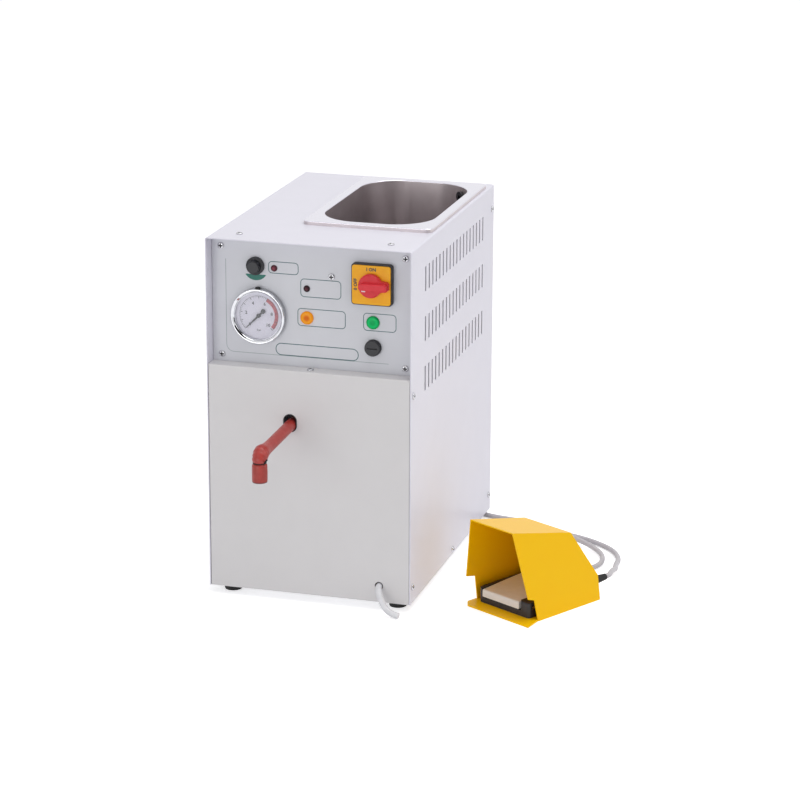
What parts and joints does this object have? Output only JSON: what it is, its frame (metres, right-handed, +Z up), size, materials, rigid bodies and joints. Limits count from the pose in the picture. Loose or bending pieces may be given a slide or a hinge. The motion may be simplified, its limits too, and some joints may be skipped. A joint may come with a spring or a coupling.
{
  "type": "jewelry steam cleaner",
  "caption": "Bench steam cleaner for jewellery: sheet metal cabinet with a top water pan, gauge and switch panel, red-sleeved steam pipe, drain hose and guarded foot pedal.",
  "frame": {"origin": "on the floor, below the middle of the box round the cabinet and its pedal, the cable and drain hose left out", "axes": "+X to the right and +Y to the back, seen from the control panel; +Z up; -Y is the side that the steam pipe points to"},
  "size_m": [0.48, 0.5589, 0.452],
  "materials": {
    "white_powder_coat": "fine powder coat",
    "grey_panel": "silver-grey matt",
    "stainless": "deep drawn, polished",
    "zinc": "zinc plated",
    "black_rubber": "matt",
    "black_plastic": "moulded",
    "red_silicone": "satin",
    "brass": "turned",
    "boiler_steel": "welded",
    "chrome": "polished",
    "white_dial": "matt",
    "clear_glass": "clear",
    "red_plastic": "moulded",
    "yellow_plastic": "moulded",
    "red_lens": "clear moulded",
    "orange_lens": "clear moulded",
    "green_lens": "clear moulded",
    "yellow_paint": "gloss",
    "grey_plastic": "fine grain",
    "grey_cable": "extruded",
    "clear_hose": "extruded",
    "pump_paint": "enamel"
  },
  "bodies": {
    "cabinet": {"outer_cover": "white_powder_coat", "lower_front_panel": "white_powder_coat", "control_panel": "grey_panel", "rear_panel": "white_powder_coat", "base_plate": "zinc", "rubber_feet": "black_rubber", "water_pan": "stainless", "overflow_fitting": "black_plastic", "pan_outlet": "black_plastic", "panel_screws": "zinc", "cover_screws": "zinc", "steam_pipe": "brass", "pipe_sleeve": "red_silicone", "nozzle_sleeve": "red_silicone", "wire_tie": "zinc", "outlet_grommet": "black_rubber", "boiler": "boiler_steel", "heater_flange": "zinc", "solenoid_valve": "brass", "feed_pump": "pump_paint", "drain_block": "brass", "drain_hose": "clear_hose", "gauge_case": "chrome", "gauge_bezel": "chrome", "gauge_plug": "black_rubber", "gauge_dial": "white_dial", "gauge_spindle": "brass", "gauge_glass": "clear_glass", "regulator": "zinc", "alarm_led": "red_lens", "tank_empty_led": "red_lens", "heating_lamp": "orange_lens", "line_lamp": "green_lens", "fuse_holder": "black_plastic", "switch_body": "black_plastic", "switch_plate": "yellow_plastic", "mains_gland": "black_plastic", "cable_gland": "black_plastic", "guard_hood": "yellow_paint", "guard_plate": "yellow_paint", "pedal_base": "black_plastic", "pivot_pin": "zinc", "return_spring": "zinc", "strain_relief": "black_rubber", "guard_screws": "zinc", "pedal_cable": "grey_cable"},
    "main_switch": {"switch_handle": "red_plastic"},
    "regulator_dial": {"regulator_knob": "black_plastic"},
    "pressure_needle": {"gauge_needle": "black_plastic"},
    "fuse_slide": {"fuse_cartridge": "clear_glass"},
    "fuse_lock": {"fuse_cap": "black_plastic"},
    "pedal_treadle": {"treadle": "grey_plastic"},
    "pedal_plunger": {"switch_plunger": "black_plastic"}
  },
  "joints": [
    {"name": "switch_turn", "type": "hinge", "parent": "cabinet", "child": "main_switch", "pos_m": [-0.02991, -0.1379, 0.4008], "axis": [0, 1, 0], "range_deg": [0, 90]},
    {"name": "regulator_turn", "type": "hinge", "parent": "cabinet", "child": "regulator_dial", "pos_m": [-0.17591, -0.1379, 0.412], "axis": [0, 1, 0], "range_deg": [-135, 135]},
    {"name": "needle_turn", "type": "hinge", "parent": "cabinet", "child": "pressure_needle", "pos_m": [-0.17191, -0.1179, 0.3513], "axis": [0, 1, 0], "range_deg": [0, 270]},
    {"name": "fuse_draw", "type": "slide", "parent": "cabinet", "child": "fuse_slide", "axis": [0, -1, 0], "range_m": [0, 0.045]},
    {"name": "fuse_cap_turn", "type": "hinge", "parent": "fuse_slide", "child": "fuse_lock", "pos_m": [-0.02961, -0.1379, 0.3228], "axis": [0, -1, 0], "range_deg": [0, 60]},
    {"name": "treadle_press", "type": "hinge", "parent": "cabinet", "child": "pedal_treadle", "pos_m": [0.12759, -0.08885, 0.01406], "axis": [-0.866, 0.5, 0], "range_deg": [0, 5], "stiffness_Nm_per_rad": 4, "springref_deg": -11.46, "deforming": ["return_spring"]},
    {"name": "plunger_press", "type": "slide", "parent": "cabinet", "child": "pedal_plunger", "axis": [0, 0, -1], "range_m": [0, 0.0014]}
  ],
  "couplings": [
    {"joint": "plunger_press", "follows": "treadle_press", "m_per_rad": 0.014}
  ]
}
